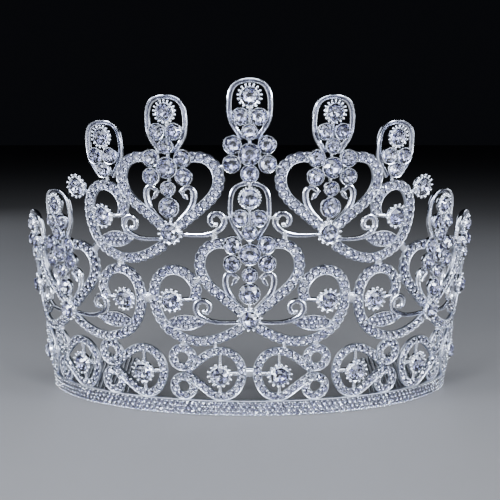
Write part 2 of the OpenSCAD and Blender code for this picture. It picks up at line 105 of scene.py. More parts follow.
# A natural cubic through the rows by chord length, walked in even steps: its bends are solved from
# the slopes between the rows, and each stretch blends the bends and places of its two ends.
def smoothPath(rows, step):
    p = np.asarray(rows, float)
    t = runOf(p[:, :2])
    h = np.diff(t)
    n = len(p)
    a = np.eye(n)
    b = np.zeros_like(p)
    i = np.arange(1, n - 1)
    a[i, i - 1] = h[:-1]
    a[i, i] = 2 * (h[:-1] + h[1:])
    a[i, i + 1] = h[1:]
    b[1:-1] = 6 * ((p[2:] - p[1:-1]) / h[1:, None] - (p[1:-1] - p[:-2]) / h[:-1, None])
    m = np.linalg.solve(a, b)

    def at(s):
        k = np.clip(np.searchsorted(t, s, side="right") - 1, 0, n - 2)
        u, w, g = (s - t[k])[:, None], (t[k + 1] - s)[:, None], h[k][:, None]
        return (m[k] * w ** 3 / (6 * g) + m[k + 1] * u ** 3 / (6 * g)
                + (p[k] / g - m[k] * g / 6) * w + (p[k + 1] / g - m[k + 1] * g / 6) * u)

    fine = np.linspace(0, t[-1], walk["finePoints"] * n)
    run = runOf(at(fine)[:, :2])
    count = max(walk["leastSteps"], int(round(run[-1] / step)))
    return at(np.interp(np.linspace(0, run[-1], count + 1), run, fine)), run[-1]


# Unit direction to the left of a charted path at each of its points.
def leftOf(path, closed=False):
    go = np.roll(path, -1, 0) - np.roll(path, 1, 0) if closed else np.gradient(path, axis=0)
    return np.stack([-go[:, 1], go[:, 0]], -1) / np.linalg.norm(go, axis=1, keepdims=True)


# A shape is its points, its four-sided faces and its three-sided faces.
def joinShapes(shapes):
    points, quads, tris, start = [], [], [], 0
    for p, q, t in shapes:
        points.append(p.reshape(-1, 3))
        quads.append(q.reshape(-1, 4) + start)
        tris.append(t.reshape(-1, 3) + start)
        start += points[-1].shape[0]
    return np.concatenate(points), np.concatenate(quads), np.concatenate(tris)


# Four-sided faces between the rows of a grid. Its columns close into a ring, and its rows may do so.
def gridFaces(rows, columns, closed=False):
    i, k = np.meshgrid(np.arange(rows if closed else rows - 1), np.arange(columns), indexing="ij")
    j, l = (i + 1) % rows * columns, (k + 1) % columns
    return np.stack([i * columns + k, j + k, j + l, i * columns + l], -1).reshape(-1, 4)


# Carries a profile along a charted path: a section is the path's point, moved to the left by the
# profile's first value and out from the wall by its second. The ends are closed with fans.
def carryProfile(path, across, out, closed=False):
    n, m = len(path), np.shape(across)[-1]
    across = np.broadcast_to(across, (n, m))
    side = leftOf(path, closed)
    place = path[:, None, :] + side[:, None, :] * across[..., None]
    points = onCrown(place[..., 0], place[..., 1], out).reshape(-1, 3)
    quads = gridFaces(n, m, closed)
    if closed:
        return points, quads, np.zeros((0, 3), int)
    ends = np.stack([points[:m].mean(0), points[-m:].mean(0)])
    k = np.arange(m)
    first = np.stack([np.full(m, n * m), k, (k + 1) % m], -1)
    last = np.stack([np.full(m, n * m + 1), (n - 1) * m + (k + 1) % m, (n - 1) * m + k], -1)
    return np.concatenate([points, ends]), quads, np.concatenate([first, last])


# Turned shapes, one for each place: rings of a radius and a height about the facing direction,
# between a pole at the back and a pole in front.
def turnShapes(places, directions, radii, heights, sides):
    n, m = radii.shape
    sideways, upright, facing = (d[:, None, None, :] for d in directions)
    angle = 2 * np.pi * (np.arange(sides) + 0.5) / sides
    rings = (places[:, None, None, :]
             + sideways * (radii[:, 1:-1, None] * np.cos(angle))[..., None]
             + upright * (radii[:, 1:-1, None] * np.sin(angle))[..., None]
             + facing * heights[:, 1:-1, None, None])
    poles = places[:, None, :] + directions[2][:, None, :] * heights[:, [0, -1], None]
    points = np.concatenate([rings.reshape(n, -1, 3), poles], 1)
    size = points.shape[1]
    start = (np.arange(n) * size)[:, None, None]
    quads = gridFaces(m - 2, sides)[:, [0, 3, 2, 1]]
    k, top = np.arange(sides), (m - 3) * sides
    l = (k + 1) % sides
    back = np.stack([np.full(sides, size - 2), l, k], -1)
    front = np.stack([np.full(sides, size - 1), top + k, top + l], -1)
    tris = np.concatenate([back, front])
    return points.reshape(-1, 3), quads[None] + start, tris[None] + start


# Copies of one small solid: its own x, y and z are laid along the wall's directions, turned about
# the facing direction and tipped a little, both by chance.
def setCopies(unit, places, along, radii, seed, tip):
    pick = np.random.default_rng(seed)
    spins = pick.random(len(along)) * np.pi / 4
    tips = (pick.random((len(along), 2)) - .5) * tip
    points, tris = unit[:2]
    sideways, upright, facing = wallDirections(along)
    facing = facing + sideways * tips[:, :1] + upright * tips[:, 1:]
    facing = facing / np.linalg.norm(facing, axis=1, keepdims=True)
    sideways = np.cross(upright, facing)
    sideways = sideways / np.linalg.norm(sideways, axis=1, keepdims=True)
    upright = np.cross(facing, sideways)
    c, s = np.cos(spins)[:, None], np.sin(spins)[:, None]
    x = (c * points[:, 0] - s * points[:, 1]) * radii[:, None]
    y = (s * points[:, 0] + c * points[:, 1]) * radii[:, None]
    z = points[:, 2] * radii[:, None]
    spots = (places[:, None] + x[..., None] * sideways[:, None]
             + y[..., None] * upright[:, None] + z[..., None] * facing[:, None])
    start = (np.arange(len(places)) * len(points))[:, None, None]
    return spots.reshape(-1, 3), np.zeros((0, 4), int), (tris[None] + start).reshape(-1, 3)


# A new object, linked into the scene.
def addObject(name, data):
    added = bpy.data.objects.new(name, data)
    bpy.context.scene.collection.objects.link(added)
    return added


# A finished piece: its mesh in metres with the faces turned outward, its finishes and body.
def makePiece(name, shapes, finishes, smooth=True, facets=None):
    points, quads, tris = joinShapes(shapes)
    mesh = bpy.data.meshes.new(name)
    mesh.from_pydata((points * crown["metres"]).tolist(), [], quads.tolist() + tris.tolist())
    turned = bmesh.new()
    turned.from_mesh(mesh)
    bmesh.ops.recalc_face_normals(turned, faces=turned.faces)
    turned.to_mesh(mesh)
    turned.free()
    count = len(mesh.polygons)
    mesh.polygons.foreach_set("use_smooth", np.full(count, smooth))
    if smooth:
        mesh.set_sharp_from_angle(angle=math.radians(crown["crispAngle"]))
    if facets is not None:  # a tone for each facet, and the foil on the back facets of each copy
        seed, isBack = facets
        # Each facet's random tone picks its foil colour: painted glints and painted dark reflections.
        glintTone = mesh.attributes.new("paintedGlintTone", "FLOAT", "FACE")
        glintTone.data.foreach_set("value", np.random.default_rng(seed).random(count))
        mesh.polygons.foreach_set("material_index", np.resize(isBack, count).astype(np.int32))
    for finish in finishes:
        mesh.materials.append(finish)
    mesh.update()
    piece = addObject(name, mesh)
    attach(piece, "root")
    print("crown:", name, len(mesh.vertices), "points", len(quads) * 2 + len(tris), "triangles")
    return piece


# A finish starts from its node tree, its main shader and the object's own coordinates.
def newFinish(name):
    finish = bpy.data.materials.new(name)
    finish.use_nodes = True
    tree = finish.node_tree
    where = tree.nodes.new("ShaderNodeTexCoord").outputs["Object"]
    return finish, tree, tree.nodes["Principled BSDF"], where


# Fills the inputs of a shader node: an output of another node is linked, any other value is set.
def fill(tree, node, values):
    for name, value in values.items():
        if isinstance(value, bpy.types.NodeSocket):
            tree.links.new(value, node.inputs[name])
        else:
            node.inputs[name].default_value = value
    return node


# Cloudy noise at a given scale, a ramp of colours over a value, and a value spread over a range.
# Noise lies mostly between a quarter and three quarters.
def noiseOf(tree, where, scale, detail, roughness=0.5):
    values = {"Vector": where, "Scale": scale, "Detail": detail, "Roughness": roughness}
    return fill(tree, tree.nodes.new("ShaderNodeTexNoise"), values).outputs["Fac"]


def rampOf(tree, value, stops):
    ramp = fill(tree, tree.nodes.new("ShaderNodeValToRGB"), {"Fac": value})
    elements = ramp.color_ramp.elements
    elements[0].position, elements[0].color = stops[0]
    elements[1].position, elements[1].color = stops[-1]
    for position, colour in stops[1:-1]:
        elements.new(position).color = colour
    return ramp.outputs["Color"]


def rangeOf(tree, value, low, high):
    values = {"Value": value, "From Min": 0.25, "From Max": 0.75, "To Min": low, "To Max": high}
    return fill(tree, tree.nodes.new("ShaderNodeMapRange"), values).outputs["Result"]


metalLooks = {
    "polished": {"tones": [(0.32, (0.74, 0.77, 0.87, 1)), (0.60, (0.97, 0.98, 1.0, 1))],
                 "rough": (0.08, 0.22), "grain": 0.10, "patch": 170.0},
    "cast": {"tones": [(0.32, (0.62, 0.65, 0.77, 1)), (0.60, (0.94, 0.96, 1.0, 1))],
             "rough": (0.20, 0.42), "grain": 0.30, "patch": 420.0},
    # Near-black beds of the channels and grooves: painted shade in the recesses.
    "paintedShade": {"tones": [(0.32, (0.04, 0.04, 0.05, 1)), (0.60, (0.15, 0.15, 0.19, 1))],
               "rough": (0.18, 0.40), "grain": 0.20, "patch": 520.0},
    "wire": {"tones": [(0.32, (0.44, 0.45, 0.50, 1)), (0.60, (0.76, 0.77, 0.80, 1))],
             "rough": (0.20, 0.38), "grain": 0.18, "patch": 260.0},
    "patchDetail": 4,
    "grainScale": 2600.0,
    "grainDetail": (3, 0.6),
    "grainDepth": 0.0001,
}
crystalLooks = {
    "index": 1.9,
    "smearScale": 520.0,
    "smearRough": (0.0, 0.03),
    "detail": 2,
    "tints": [(0.35, (.92, .94, 1.0, 1)), (0.65, (.98, .99, 1.0, 1))],
    "foilScale": 900.0,
    "foilRough": (0.03, 0.15),
    # Ramps over each facet's random tone: the foil's lavender grey in the middle, painted dark
    # reflections below it and painted white glints above.
    "largeFoilGlints": [(0.0, (0.08, 0.08, 0.14, 1)), (0.30, (0.40, 0.40, 0.58, 1)),
                  (0.60, (0.80, 0.81, 1.0, 1)), (1.0, (1.0, 1.0, 1.0, 1))],
    "smallFoilGlints": [(0.0, (0.30, 0.30, 0.46, 1)), (0.35, (0.84, 0.85, 1.0, 1)),
                  (1.0, (1.0, 1.0, 1.0, 1))],
}


# Rhodium-plated metal, and the near-black painted shade in the beds of channels and grooves: its tone
# drifts in soft patches, and a fine grain breaks up the gloss.
def silverFinish(name, look):
    finish, tree, shader, where = newFinish(name)
    patches = noiseOf(tree, where, look["patch"], metalLooks["patchDetail"])
    grain = noiseOf(tree, where, metalLooks["grainScale"], *metalLooks["grainDetail"])
    bump = fill(tree, tree.nodes.new("ShaderNodeBump"), {
        "Strength": look["grain"], "Distance": metalLooks["grainDepth"], "Height": grain})
    fill(tree, shader, {"Base Color": rampOf(tree, patches, look["tones"]),
                        "Roughness": rangeOf(tree, grain, *look["rough"]),
                        "Normal": bump.outputs["Normal"], "Metallic": 1.0})
    return finish


# Clear crystal in front: faint smears on its facets change its gloss and tint a little.
def glassFinish(name):
    finish, tree, shader, where = newFinish(name)
    smears = noiseOf(tree, where, crystalLooks["smearScale"], crystalLooks["detail"])
    fill(tree, shader, {"Base Color": rampOf(tree, smears, crystalLooks["tints"]),
                        "Roughness": rangeOf(tree, smears, *crystalLooks["smearRough"]),
                        "Transmission Weight": 1.0, "IOR": crystalLooks["index"]})
    return finish


# Foil behind the crystal, with painted light: each of its facets is painted a tone of its own, from dark
# painted reflections through the foil's lavender grey to white painted glints.
def foilFinish(name):
    finish, tree, shader, where = newFinish(name)
    glintTone = tree.nodes.new("ShaderNodeAttribute")
    glintTone.attribute_name = "paintedGlintTone"
    wear = noiseOf(tree, where, crystalLooks["foilScale"], crystalLooks["detail"])
    fill(tree, shader, {"Base Color": rampOf(tree, glintTone.outputs["Fac"], crystalLooks[name]),
                        "Roughness": rangeOf(tree, wear, *crystalLooks["foilRough"]), "Metallic": 1.0})
    return finish


polishedSilver = silverFinish("polishedSilver", metalLooks["polished"])
castSilver = silverFinish("castSilver", metalLooks["cast"])
# Painted shade for the beds of channels and grooves.
paintedShadeGround = silverFinish("paintedShadeGround", metalLooks["paintedShade"])
combWire = silverFinish("combWire", metalLooks["wire"])
clearCrystal = glassFinish("clearCrystal")
largeFoilGlints = foilFinish("largeFoilGlints")
smallFoilGlints = foilFinish("smallFoilGlints")

# Patterns of the wall. Rows are places along and up as shares of the part's size, and a third value
# is a width in millimetres.
hearts = {
    "half": 15.1,
    "rise": 25.3,
    "ribbon": 3.3,
    "thick": 2.0,
    "curlThick": 1.35,
    "rows": [[.40, 1.00], [.68, 1.00], [.88, .93], [.99, .80], [.995, .65], [.90, .51], [.64, .34],
             [.17, .09]],
    "curl": [[.08, .09, 1.4], [.25, .20, 1.7], [.43, .34, 1.9], [.50, .48, 2.0], [.485, .57, 1.9],
             [.41, .615, 1.7], [.31, .59, 1.5], [.22, .54, 1.2]],
    "barb": [[.24, .56, .5], [.29, .52, 1.5], [.34, .47, 1.1], [.375, .445, .25]],
}
centreHeart = (0.0, 34.4, 1.0)  # foot along, foot up, and size
upperHeart = (23.8, 63.3, 0.97)
sideHeart = (65.8, 33.9, 0.93)

scrollWork = {
    "reach": 30.5,
    "rise": 16.3,
    "ribbon": 3.3,
    "thick": 1.75,
    "wireThick": 1.35,
    "ball": (0.1, 0.9, 0.7),  # height, radius and flatness of the ball at a tendril's end
    "peg": [[.75, .365], [.56, .40]],
    "pegWidth": 1.7,
    "rows": [[.085, -.18], [.27, -.375], [.50, -.485], [.70, -.43], [.87, -.23], [.97, .08], [1.0, .42],
             [.965, .76], [.85, .975], [.70, .975], [.59, .80], [.55, .56], [.58, .38]],
    "tendril": [[.10, -.07, 1.3], [.30, -.085, 1.5], [.47, -.015, 1.8], [.565, .17, 2.0],
                [.545, .31, 2.1], [.49, .365, 2.0], [.435, .32, 1.9], [.415, .22, 1.8],
                [.44, .135, 1.7], [.475, .14, 1.6]],
    "flower": (.815, .36),
}
scrolls = [(centreHeart, 1, 1.0, 0.0), (sideHeart, -1, 1.0, 0.2), (sideHeart, 1, 1.0, 0.0),
           (upperHeart, 1, 0.9, -1.0)]  # heart, way, share of the reach, and lift
innerTendril = (upperHeart, -1, 0.94, 0.6)

leaves = {
    "width": 5.8,
    "thick": 1.5,
    "rows": [[.905, -.13, .12], [.80, -.12, .72], [.67, -.105, 1.0], [.54, -.09, .70], [.44, -.06, .12]],
    "leastHalf": 0.15,
    "rim": (0.95, 0.40),  # the broad rim: its most, and its share of the half width
    "edge": (0.48, 0.26),  # the thin rim above
    "rimSteps": (0, .04, .22, .50, .78, 1),
    "edgeSteps": (1, .85, .25, 0),
    "backSteps": (-.7, 0, .7),
    "out": np.array([-.10, .22, .50, .62, .50, .14, .14, .40, .40, .0, -.36, -.5, -.36]),
    "bedOut": np.array([.17, .17, .05, .05]),
    "bedShare": 0.9,  # share of a rim that the bed leaves free
    "bedInset": 3,
    "radius": 0.76,
    "spacing": (2.08, 1.86, 1.04),  # in radii: along, across, and the shift of every other row
    "rowsAcross": np.arange(-2, 3),
    "shift": 0.25,  # the stones lie nearer the thin rim
    "margin": 0.08,
    "stoneOut": (.20, .18),
}

gallery = {
    "pitch": 26.4,
    "count": 4,
    "start": 2.4,
    "base": 7.0,
    "length": 19.0,
    "height": 16.2,
    "ribbon": 2.9,
    "thick": 1.9,
    "lobe": 0.22,
    "ring": 3.35,
    "ringThick": 1.6,
    "ringPoints": 48,
    "ringShare": 1.035,
    "ringUps": (.205, .83),
    "flower": (.39, .47),
    "bars": [((.40, .03), (.38, .97), 1.3), ((.24, .50), (.02, .50), 1.8)],
    "bridge": (.53, 3.6),  # height and width of the bar between the middle drops
    "rows": [[1.0, .54], [.72, .81], [.44, .99], [.20, .955], [.05, .77], [.0, .53], [.05, .27],
             [.19, .06], [.40, .0], [.68, .20], [1.0, .48]],
}

plumes = {
    "half": 5.7,
    "length": 20.0,
    "foot": 4.3,
    "width": 1.5,
    "thick": 1.7,
    "across": np.array([-.50, -.49, -.42, -.30, -.18, -.10, .22, .30, .42, .50, .34, -.34]),
    "out": np.array([-.25, .20, .44, .50, .42, .12, .02, .22, .18, -.10, -.48, -.48]),
    "bed": np.array([-.12, .25, .25, -.12]),
    "bedOut": np.array([.16, .06, -.15, -.05]),
    "rows": [[.36, .09], [.52, .17], [.70, .255], [.86, .345], [.965, .45], [1.0, .59], [.985, .72],
             [.90, .85], [.69, .95], [.35, 1.0]],
}

stones = {
    "core": 3.4,
    "side": 2.75,
    "pair": 2.6,
    "small": 2.4,
    "base": 3.3,
    "flower": (3.1, 4.1),  # stone and setting
    "crest": (2.9, 3.7),
    "centreCrest": (3.2, 3.95),  # the centre heart's crest is larger, with fine prongs
    "gap": 0.3,
    "rim": 0.4,
    "fill": 0.08,  # how far a stone reaches over its cup's seat
    "cupHeight": 2.0,
    "flowerHeight": 1.5,
    "footLift": 0.4,  # a heart's foot flower lies on its ribbons
    "levelStep": 0.12,
    "seatGap": 0.1,
    "table": 0.56,
    "crownDepth": 0.45,
    "star": (.80, .25),  # radius and height of the ring between table and girdle
    "girdle": 0.03,
    "foil": (.54, -.25),
    "point": -0.40,
    "dish": 0.02,  # the table's middle lies this much lower
    "tip": 0.05,
    # The second seed gives the facets' painted glint tones.
    "seeds": (20, 40),  # for the stones' turns and for their facets' tones
}

paveWork = {
    "share": 0.36,  # radius of a stone as a share of its ribbon's width
    "pitch": 2.4,
    "lobe": 0.50,
    "lobeSink": 0.45,  # share of a lobe that lies inside the ribbon's width
    "shift": 0.06,  # the stones lie a little nearer the lobes
    "stoneOut": (.26, .22),  # out from the wall: a share of the thickness, plus a length
    "beads": ((.50, .40, .46), (.66, .42, .391)),  # at the lobed and smooth edge: margin, out and radius
    "leftRim": (0, .05, .16, .32, .40),  # the section's steps in from the smooth edge
    "rightRim": (-.42, -.16, 0, -.28),  # and from the lobed edge
    "back": .38,
    "heel": .28,
    "out": np.array([.10, .44, .56, .50, .24, .24, .42, .12, -.34, -.5, -.5, -.34]),
    "bed": .36,
    "bedOut": np.array([.26, .26, .10, .10]),
    "table": (.55, .42),
    "peak": 0.40,
    "point": -0.18,
    "tip": 0.20,
    "seeds": (11, 5),
}

wires = {
    "across": np.array([-.50, -.48, -.38, -.22, -.12, .12, .22, .38, .48, .50, .34, -.34]),
    "out": np.array([-.20, .18, .42, .48, .20, .20, .48, .42, .18, -.20, -.5, -.5]),
    "bed": np.array([-.15, .15, .15, -.15]),
    "bedOut": np.array([.23, .23, .05, .05]),
    "barThick": 1.1,
    "barArc": (9, .9, .4),  # points of a bar's front, its rise, and how far it is set back
    "barBack": (.86, .5),  # a bar's flat back: share of the width, and depth
}
ballFaces = {"tendril": (12, 7), "flower": (8, 6), "bead": (6, 5)}  # sides and rings


# Charted places from a part's rows: its foot or corner, plus the rows times its size. A part on the
# left is the mirror image of the one on the right.
def heartAt(heart, rows, half, side=1):
    rows = np.array(rows, float)
    rows[:, 0] = side * (heart[0] + half * rows[:, 0] * hearts["half"] * heart[2])
    rows[:, 1] = heart[1] + rows[:, 1] * hearts["rise"] * heart[2]
    return rows


def scrollAt(scroll, rows, side=1):
    heart, way, share, lift = scroll
    rows = np.array(rows, float)
    rows[:, 0] = side * (heart[0] + way * rows[:, 0] * scrollWork["reach"] * share)
    rows[:, 1] = heart[1] + lift + rows[:, 1] * scrollWork["rise"]
    return rows


def dropAt(number, rows, side=1):
    rows = np.array(rows, float)
    start = number * gallery["pitch"] + gallery["start"]
    rows[:, 0] = side * (start + rows[:, 0] * gallery["length"])
    rows[:, 1] = gallery["base"] + rows[:, 1] * gallery["height"]
    return rows


paveSpots, beadSpots = [], []  # along, up, out and radius of each small stone and each bead
# The beds of channels and grooves, in near-black metal: painted shade in the recesses.
shadeBedShapes = []  # the dark ground of channels and grooves


# A carried profile over a bed painted dark as shade, which starts some steps in from both ends.
def carryWithBed(path, profile, bed, inset=0, closed=False):
    inner = slice(inset, len(path) - inset)
    across, out = bed
    shadeBedShapes.append(carryProfile(path[inner], across[inner], out, closed))
    return carryProfile(path, *profile, closed)


# Notes where stones or beads go, to be made all at once.
def addSpots(target, along, up, out, radius):
    target.append(np.column_stack(np.broadcast_arrays(along, up, out, radius)))


# Charted places beside a path: its point at a length, moved to the left by a shift.
def besidePath(path, left, run, s, shift):
    return [np.interp(s, run, path[:, k]) + np.interp(s, run, left[:, k]) * shift for k in (0, 1)]


# A channel with a smooth rim on one side and a lobe beside each stone on the other. The lobes swell
# as the root of a sine along the ribbon. One row of stones and beads lies in its bed.
def paveRibbon(path, length, width, thick, lobeSide, lobe=paveWork["lobe"], closed=False):
    n = len(path)
    count = int(round(length / paveWork["pitch"]))
    step = length / count
    run = np.arange(n) * length / (n if closed else n - 1)
    swell = np.sqrt(np.abs(np.sin(np.pi * run / step)))
    left = np.full((n, 1), -width / 2)
    right = (width / 2 - paveWork["lobeSink"] * lobe + lobe * swell)[:, None]
    back = np.full((n, 1), paveWork["back"] * width / 2)
    across = np.hstack([left + paveWork["leftRim"], right + paveWork["rightRim"], back, -back,
                        left + paveWork["heel"]])
    out = paveWork["out"] * thick
    bedLeft, bedRight = left + paveWork["bed"], right - paveWork["bed"]
    bed = np.hstack([bedLeft, bedRight, bedRight, bedLeft])
    bedOut = paveWork["bedOut"] * thick
    if lobeSide < 0:
        across, bed = -across[:, ::-1], -bed[:, ::-1]
        out, bedOut = out[::-1], bedOut[::-1]
    course = [path, leftOf(path, closed)]
    if closed:
        course = [np.concatenate([row, row[:1]]) for row in course]
    course.append(np.linspace(0, length, len(course[0])))
    middle = (np.arange(count) + 0.5) * step
    between = np.arange(0 if closed else 1, count) * step
    rise, lift = paveWork["stoneOut"]
    addSpots(paveSpots, *besidePath(*course, middle, paveWork["shift"] * lobeSide),
             rise * thick + lift, paveWork["share"] * width)
    for way, (margin, rise, radius) in zip((1, -1), paveWork["beads"]):
        shift = way * (width / 2 - margin) * lobeSide
        addSpots(beadSpots, *besidePath(*course, between, shift), rise * thick, radius)
    return carryWithBed(path, (across, out), (bed, bedOut), closed=closed)


# A wire: its widths and thickness multiply the values of its section.
def carryWire(path, section, widths, thick, inset=0):
    return carryWithBed(path, (section["across"] * widths, section["out"] * thick),
                        (section["bed"] * widths, section["bedOut"] * thick), inset)


# Plain wire with a groove along its front: two round lips, and a strip between them painted dark as the
# groove's shade.
def wireAlong(rows, thick):
    path = smoothPath(rows, walk["wire"])[0]
    return carryWire(path[:, :2], wires, path[:, 2:3], thick, 1)


# A straight bar of half-round wire: its path goes evenly from one place to the other, and its front
# is half an ellipse over a flat back.
def barBetween(a, b, width, thick=wires["barThick"]):
    t = np.linspace(0, 1, walk["barPoints"])[:, None]
    path = np.asarray(a) * (1 - t) + np.asarray(b) * t
    count, rise, setBack = wires["barArc"]
    share, depth = wires["barBack"]
    angle = np.linspace(0, np.pi, count)
    across = np.concatenate([np.cos(angle), [-share, share]]) / 2
    out = np.concatenate([np.sin(angle) * rise - setBack, [-depth, -depth]])
    return carryProfile(path, across * width, out * thick)


# A flattened ball at charted spots: radii follow a sine from pole to pole, heights a cosine.
def ballsAt(rows, sides, rings, flat=1.0):
    rows = np.asarray(rows, float)
    polar = np.linspace(np.pi, 0, rings)
    places = onCrown(rows[:, 0], rows[:, 1], rows[:, 2])
    return turnShapes(places, wallDirections(rows[:, 0]), rows[:, 3:4] * np.sin(polar),
                      rows[:, 3:4] * np.cos(polar) * flat, sides)


print("crown: ribbons")
heartShapes, scrollShapes, galleryShapes, wireShapes, leafShapes = [], [], [], [], []


# A leaf: a plate whose half width follows the rows, with a broad bright rim below, a thin one above
# and small stones in staggered rows over a bed painted dark as shade between them.
def leafOf(scroll, side):
    rows = scrollAt(scroll, leaves["rows"], side)
    rows[:, 2] *= leaves["width"] / 2
    path = smoothPath(rows, walk["leaf"])[0]
    half = np.maximum(path[:, 2:3], leaves["leastHalf"])
    low = scroll[1] * side  # on a right-hand scroll, the lower edge lies to the left of its course
    rim, edge = (np.minimum(most, share * half) for most, share in (leaves["rim"], leaves["edge"]))
    across = np.hstack([half - leaves["rimSteps"] * rim, -half + leaves["edgeSteps"] * edge,
                        leaves["backSteps"] * half]) * low
    bedHigh, bedLow = half - leaves["bedShare"] * rim, -half + leaves["bedShare"] * edge
    bed = np.hstack([bedLow, bedHigh, bedHigh, bedLow]) * low
    out, bedOut = leaves["out"] * leaves["thick"], leaves["bedOut"] * leaves["thick"]
    if low < 0:
        across, out, bed, bedOut = across[:, ::-1], out[::-1], bed[:, ::-1], bedOut[::-1]
    leafShapes.append(carryWithBed(path[:, :2], (across, out), (bed, bedOut), leaves["bedInset"]))
    run = runOf(path[:, :2])
    radius = leaves["radius"]
    stepAlong, stepAcross, stagger = (radius * share for share in leaves["spacing"])
    s, c = np.meshgrid(np.arange(radius * 2, run[-1], stepAlong), leaves["rowsAcross"] * stepAcross)
    s = s + (np.round(c / stepAcross) % 2) * stagger
    keep = np.abs(c) + radius < np.interp(s, run, half[:, 0]) - leaves["margin"]
    s, c = s[keep], c[keep] - low * leaves["shift"]
    rise, lift = leaves["stoneOut"]
    addSpots(paveSpots, *besidePath(path, leftOf(path[:, :2]), run, s, c),
             rise * leaves["thick"] + lift, radius)


for side in (1, -1):
    for heart in (centreHeart, upperHeart, sideHeart):
        for half in ((1,) if heart is centreHeart else (1, -1)):
            rows = heartAt(heart, hearts["rows"], half, side)
            path, length = smoothPath(rows, walk["ribbon"])
            heartShapes.append(paveRibbon(path, length, hearts["ribbon"], hearts["thick"], half * side))
            for key in ("curl", "barb"):
                rows = heartAt(heart, hearts[key], half, side)
                wireShapes.append(wireAlong(rows, hearts["curlThick"]))
    for scroll in scrolls:
        path, length = smoothPath(scrollAt(scroll, scrollWork["rows"], side), walk["ribbon"])
        scrollShapes.append(paveRibbon(path, length, scrollWork["ribbon"], scrollWork["thick"],
                                       -scroll[1] * side))
        leafOf(scroll, side)
        wireShapes.append(barBetween(*scrollAt(scroll, scrollWork["peg"], side),
                                     scrollWork["pegWidth"]))
    for scroll in scrolls + [innerTendril]:
        rows = scrollAt(scroll, scrollWork["tendril"], side)
        wireShapes.append(wireAlong(rows, scrollWork["wireThick"]))
        height, radius, flat = scrollWork["ball"]
        wireShapes.append(ballsAt([[*rows[-1, :2], height, radius]], *ballFaces["tendril"], flat))
    for number in range(gallery["count"]):
        path, length = smoothPath(dropAt(number, gallery["rows"], side), walk["ribbon"])
        galleryShapes.append(paveRibbon(path, length, gallery["ribbon"], gallery["thick"], side,
                                        gallery["lobe"]))
        for up in gallery["ringUps"]:
            middle = dropAt(number, [[gallery["ringShare"], up]])[0]
            angle = np.linspace(0, 2 * np.pi, gallery["ringPoints"], endpoint=False)
            path = middle + gallery["ring"] * np.stack([np.cos(angle), np.sin(angle)], -1)
            galleryShapes.append(paveRibbon(path * [side, 1], 2 * np.pi * gallery["ring"],
                                            gallery["ribbon"], gallery["ringThick"], side,
                                            gallery["lobe"], True))
        for a, b, width in gallery["bars"]:
            wireShapes.append(barBetween(*dropAt(number, [a, b], side), width))

print("crown: band")
band = {
    "height": 5.8,
    "lobe": 0.34,
    "pitch": 1.9,
    "radius": 0.88,
    "stoneOut": 0.42,
    "rows": (1.08, 2.58, 4.08),
    "beadOut": 0.58,
    "beads": [(.46, .42), (1.80, .34), (3.3, .34), (4.75, .34)],  # height and radius of each row
    "rail": (-.25, 0, 0, -.14, -.48, -.66, -.74),  # the section's steps from the top
    "lip": (.34, .12, 0, 0),  # and from the lobed lower edge
    "heel": 0.5,
    "out": (-.75, -.45, .40, .84, .88, .66, .26, .26, .52, .30, -.45, -.75),
    "bed": (.72, .36),  # from the top and from the lower edge
    "bedOut": (.30, .30, .1, .1),
}


# The band's section runs from the back over the bright rail to the bed and round the lobed lower
# edge, whose notches are what a sine's root leaves below one.
def makeBand():
    end = crown["bandEnd"]
    n = int(round(2 * end / walk["band"])) + 1
    run = np.linspace(-end, end, n)[:, None]
    count = int(round(2 * end / band["pitch"]))
    step = 2 * end / count
    notch = band["lobe"] * (1 - np.sqrt(np.abs(np.sin(np.pi * (run + end) / step))))
    top = np.full((n, 1), band["height"])
    up = np.hstack([top + band["rail"], notch + band["lip"], np.full((n, 1), band["heel"])])
    path = np.hstack([run, np.zeros((n, 1))])
    bedTop, bedFoot = top - band["bed"][0], notch + band["bed"][1]
    bed = np.hstack([bedTop, bedFoot, bedFoot, bedTop])
    middle = -end + (np.arange(count) + 0.5) * step
    edge = -end + np.arange(1, count) * step
    for spots, level in zip((middle, edge, middle), band["rows"]):
        addSpots(paveSpots, spots, level, band["stoneOut"], band["radius"])
    for spots, (level, radius) in zip((edge, edge, middle, edge), band["beads"]):
        addSpots(beadSpots, spots, level, band["beadOut"], radius)
    return carryWithBed(path, (up, band["out"]), (bed, band["bedOut"]), 1)


bandShape = makeBand()

print("crown: plumes and links")


# A plume's wire is a strip on edge: a bright round lip outside, and a slope down to its inner side.
def loopAt(along, up, share):
    half = np.array(plumes["rows"]) * [plumes["half"], plumes["length"]] - [0, plumes["foot"]]
    rows = np.concatenate([half, half[::-1] * [-1, 1]]) * share + [along, up]
    path = smoothPath(rows, walk["wire"])[0]
    return carryWire(path, plumes, np.full((len(path), 1), plumes["width"]), plumes["thick"])


clusters = {
    "topPlace": 83.0,  # height of the top cluster's lowest stone
    "core": 0.88,  # share of a heart's rise at which its large stone lies
    "splay": 0.1,
    "peak": (0.66, 4.3, 0.97),  # share of a scroll's reach, height above it, and size
    "finial": (84.0, 2.2, 0.92),  # place along, height above a scroll, and size
    "tip": (55.0, 78.0),
    "room": {"pair": 0.2, "rise": 0.4, "side": -0.12, "mid": 1.3, "lower": 1.2, "base": 0.7},
}
room = clusters["room"]

